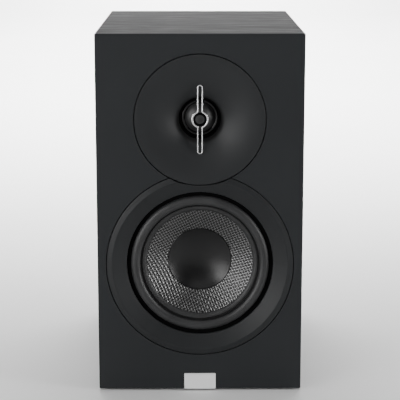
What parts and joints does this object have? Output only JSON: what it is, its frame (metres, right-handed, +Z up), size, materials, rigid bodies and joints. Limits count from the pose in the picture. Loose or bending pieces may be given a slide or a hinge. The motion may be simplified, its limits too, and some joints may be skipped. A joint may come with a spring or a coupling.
{
  "type": "bookshelf speaker",
  "caption": "Two-way bookshelf loudspeaker: wrapped wood cabinet, dome tweeter in a round waveguide, woven-cone woofer, rear port and binding posts.",
  "frame": {"origin": "centre of the overall box in plan, on the plane that the feet stand on", "axes": "+Z up, the front baffle faces -Y, +X to the right as seen from the front"},
  "size_m": [0.18, 0.2854, 0.319],
  "materials": {
    "black_ash": "satin",
    "baffle_black": "matte",
    "brace_board": "matte",
    "wadding_white": "matte",
    "rubber_black": "matte",
    "surround_rubber": "satin",
    "badge_silver": "satin",
    "trim_black": "satin",
    "waveguide_black": "satin",
    "basket_black": "satin",
    "cone_weave": "satin",
    "dust_cap_black": "satin",
    "former_aluminium": "satin",
    "coil_copper": "satin",
    "spider_cloth": "matte",
    "motor_steel": "satin",
    "magnet_ferrite": "matte",
    "screw_black": "satin",
    "rivet_steel": "satin",
    "strip_brown": "matte",
    "loop_silver": "satin",
    "dome_black": "satin",
    "spacer_black": "matte",
    "port_black": "satin",
    "terminal_black": "satin",
    "post_red": "gloss",
    "post_black": "gloss",
    "post_gold": "polished",
    "board_green": "satin",
    "standoff_white": "satin",
    "capacitor_yellow": "gloss",
    "resistor_white": "matte",
    "lead_grey": "satin"
  },
  "bodies": {
    "cabinet": {"badge_plate": "badge_silver", "black_bush": "post_black", "bottom_panel": "black_ash", "crossover_board": "board_green", "crossover_capacitors": "capacitor_yellow", "crossover_inductors": "coil_copper", "crossover_resistors": "resistor_white", "crossover_screws": "screw_black", "crossover_standoffs": "standoff_white", "damping_wadding": "wadding_white", "front_baffle": "baffle_black", "input_leads": "lead_grey", "left_panel": "black_ash", "port_flare": "port_black", "port_tube": "port_black", "post_nuts": "post_gold", "post_studs": "post_gold", "rear_panel": "black_ash", "red_bush": "post_red", "right_panel": "black_ash", "rubber_feet": "rubber_black", "terminal_gasket": "rubber_black", "terminal_plate": "terminal_black", "terminal_screws": "screw_black", "top_panel": "black_ash", "tweeter_front_plate": "motor_steel", "tweeter_leads": "lead_grey", "tweeter_magnet": "magnet_ferrite", "tweeter_motor_screws": "screw_black", "tweeter_phase_loop": "loop_silver", "tweeter_rear_chamber": "spacer_black", "tweeter_screws": "screw_black", "tweeter_spacer": "spacer_black", "tweeter_surround": "dome_black", "tweeter_terminals": "strip_brown", "tweeter_waveguide": "waveguide_black", "tweeter_yoke": "motor_steel", "window_brace": "brace_board", "woofer_basket": "basket_black", "woofer_gasket": "rubber_black", "woofer_leads": "lead_grey", "woofer_magnet": "magnet_ferrite", "woofer_rivets": "rivet_steel", "woofer_screws": "screw_black", "woofer_spider": "spider_cloth", "woofer_surround": "surround_rubber", "woofer_terminals": "strip_brown", "woofer_top_plate": "motor_steel", "woofer_trim_ring": "trim_black", "woofer_yoke": "motor_steel"},
    "woofer_moving": {"woofer_cone": "cone_weave", "woofer_dust_cap": "dust_cap_black", "woofer_former": "former_aluminium", "woofer_voice_coil": "coil_copper"},
    "tweeter_moving": {"tweeter_dome": "dome_black", "tweeter_voice_coil": "coil_copper"},
    "red_clamp": {"red_washer": "post_gold"},
    "red_knob": {"red_cap": "post_red"},
    "black_clamp": {"black_washer": "post_gold"},
    "black_knob": {"black_cap": "post_black"}
  },
  "joints": [
    {"name": "woofer_stroke", "type": "slide", "parent": "cabinet", "child": "woofer_moving", "axis": [0, -1, 0], "range_m": [-0.005, 0.005], "stiffness_N_per_m": 900, "deforming": ["woofer_surround", "woofer_spider"]},
    {"name": "tweeter_stroke", "type": "slide", "parent": "cabinet", "child": "tweeter_moving", "axis": [0, -1, 0], "range_m": [-0.0004, 0.0004], "stiffness_N_per_m": 60, "deforming": ["tweeter_surround"]},
    {"name": "red_clamp_travel", "type": "slide", "parent": "cabinet", "child": "red_clamp", "axis": [0, 1, 0], "range_m": [0, 0.005]},
    {"name": "red_knob_turn", "type": "hinge", "parent": "red_clamp", "child": "red_knob", "pos_m": [-0.0095, 0.1348, 0.072], "axis": [0, 1, 0], "range_deg": [0, 1800]},
    {"name": "black_clamp_travel", "type": "slide", "parent": "cabinet", "child": "black_clamp", "axis": [0, 1, 0], "range_m": [0, 0.005]},
    {"name": "black_knob_turn", "type": "hinge", "parent": "black_clamp", "child": "black_knob", "pos_m": [0.0095, 0.1348, 0.072], "axis": [0, 1, 0], "range_deg": [0, 1800]}
  ],
  "couplings": [
    {"joint": "red_knob_turn", "follows": "red_clamp_travel", "rad_per_m": 6283.2},
    {"joint": "black_knob_turn", "follows": "black_clamp_travel", "rad_per_m": 6283.2}
  ]
}
